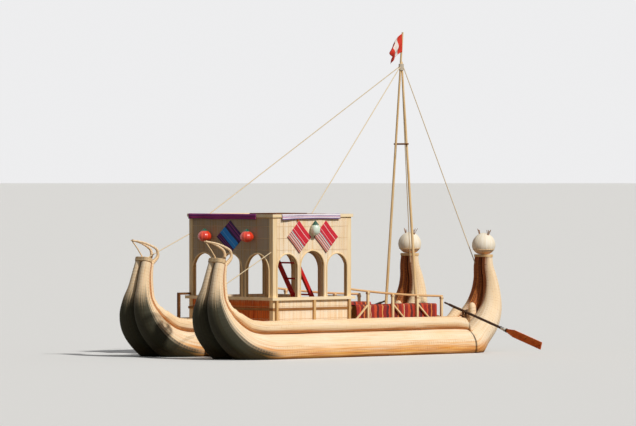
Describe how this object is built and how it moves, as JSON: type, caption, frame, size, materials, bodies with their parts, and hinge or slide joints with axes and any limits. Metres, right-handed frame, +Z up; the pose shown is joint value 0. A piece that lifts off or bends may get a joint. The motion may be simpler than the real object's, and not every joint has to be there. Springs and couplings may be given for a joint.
{
  "type": "reed boat",
  "caption": "Reed catamaran with an arched reed cabin on its deck, a bipod mast with stays and a flag, round carved heads at the bow and oars pinned in forks.",
  "frame": {"origin": "on the ground under the middle of the boat's outline, where its reed bundles rest", "axes": "+X towards the heads at the bow, +Y to port, +Z up"},
  "size_m": [7.8641, 7.2622, 6.7049],
  "materials": {
    "reed_bundle": "dry reed stems bound in long bundles",
    "reed_roll": "dry reed stems in a tight roll",
    "reed_binding": "reed and rope binding",
    "head_hide": "pale bound reed",
    "reed_mat": "woven reed mat",
    "wall_mat": "upright reed stems sewn into a panel",
    "timber": "weathered timber",
    "timber_pale": "pale dry timber",
    "pole_wood": "smoothed eucalyptus pole",
    "red_paint": "red painted timber",
    "oar_wood": "dark oiled wood",
    "oar_paint": "orange red painted plank",
    "oar_metal": "dull metal ferrule",
    "rope": "twisted fibre rope",
    "flag_cloth": "plain woven flag cloth",
    "cloth_red": "woven striped blanket",
    "cloth_purple": "woven striped blanket",
    "cloth_lilac": "woven striped blanket",
    "cloth_diamond": "woven striped cloth",
    "bell_red": "glossy pleated fabric",
    "bell_pale": "pale pleated fabric",
    "calyx": "dark pleated fabric",
    "dark_rope": "dark twisted rope"
  },
  "bodies": {
    "boat": {"bench_blanket_port": "cloth_red", "bench_blanket_stbd": "cloth_red", "bench_port": "timber", "bench_stbd": "timber", "bow_stays": "rope", "bundle_port_inner": "reed_bundle", "bundle_port_outer": "reed_bundle", "bundle_stbd_inner": "reed_bundle", "bundle_stbd_outer": "reed_bundle", "cabin_posts": "timber_pale", "cabin_wall_aft": "wall_mat", "cabin_wall_fore": "wall_mat", "cabin_wall_port": "wall_mat", "cabin_wall_stbd": "wall_mat", "cross_beams": "timber", "deck_bolsters": "reed_roll", "deck_mat": "reed_mat", "diamond_cloths": "cloth_diamond", "flag": "flag_cloth", "gunwale_roll_port_outer": "reed_roll", "gunwale_roll_stbd_outer": "reed_roll", "gunwale_rolls_port_inner": "reed_roll", "gunwale_rolls_stbd_inner": "reed_roll", "hatch_coaming": "timber", "head_collars": "reed_binding", "head_port": "head_hide", "head_stbd": "head_hide", "ladder": "red_paint", "ledge_struts": "timber", "mast_crossbar": "pole_wood", "mast_lashing": "rope", "mast_pole_port": "pole_wood", "mast_pole_stbd": "pole_wood", "mast_steps": "timber", "oar_saddles": "timber", "pale_bells": "bell_pale", "railing_aft": "timber_pale", "railing_port": "timber_pale", "railing_stbd": "timber_pale", "red_bells": "bell_red", "roof": "reed_mat", "roof_blanket_aft": "cloth_purple", "roof_blanket_stbd": "cloth_lilac", "roof_poles": "timber", "roof_rim": "timber_pale", "roof_stays": "rope", "sill_ledge": "timber_pale", "tail_caps": "reed_binding", "tail_horns": "reed_roll", "tail_ropes": "rope", "waist_band": "timber"},
    "fork_stbd": {"oar_fork_stbd": "oar_wood"},
    "fork_port": {"oar_fork_port": "oar_wood"},
    "oar_stbd": {"oar_band_stbd": "oar_metal", "oar_blade_stbd": "oar_paint", "oar_shaft_stbd": "oar_wood"},
    "oar_port": {"oar_band_port": "oar_metal", "oar_blade_port": "oar_paint", "oar_shaft_port": "oar_wood"}
  },
  "joints": [
    {"name": "fork_stbd_sweep", "type": "hinge", "parent": "boat", "child": "fork_stbd", "pos_m": [2.8, -1.44, 0.98], "axis": [0, 0, 1], "range_deg": [-30, 30]},
    {"name": "oar_stbd_dip", "type": "hinge", "parent": "fork_stbd", "child": "oar_stbd", "pos_m": [2.8, -1.44, 1.065], "axis": [-1, 0, 0], "range_deg": [-8.5, 26.5]},
    {"name": "fork_port_sweep", "type": "hinge", "parent": "boat", "child": "fork_port", "pos_m": [2.8, 1.44, 0.98], "axis": [0, 0, 1], "range_deg": [-30, 30]},
    {"name": "oar_port_dip", "type": "hinge", "parent": "fork_port", "child": "oar_port", "pos_m": [2.8, 1.44, 1.065], "axis": [1, 0, 0], "range_deg": [-8.5, 26.5]}
  ]
}
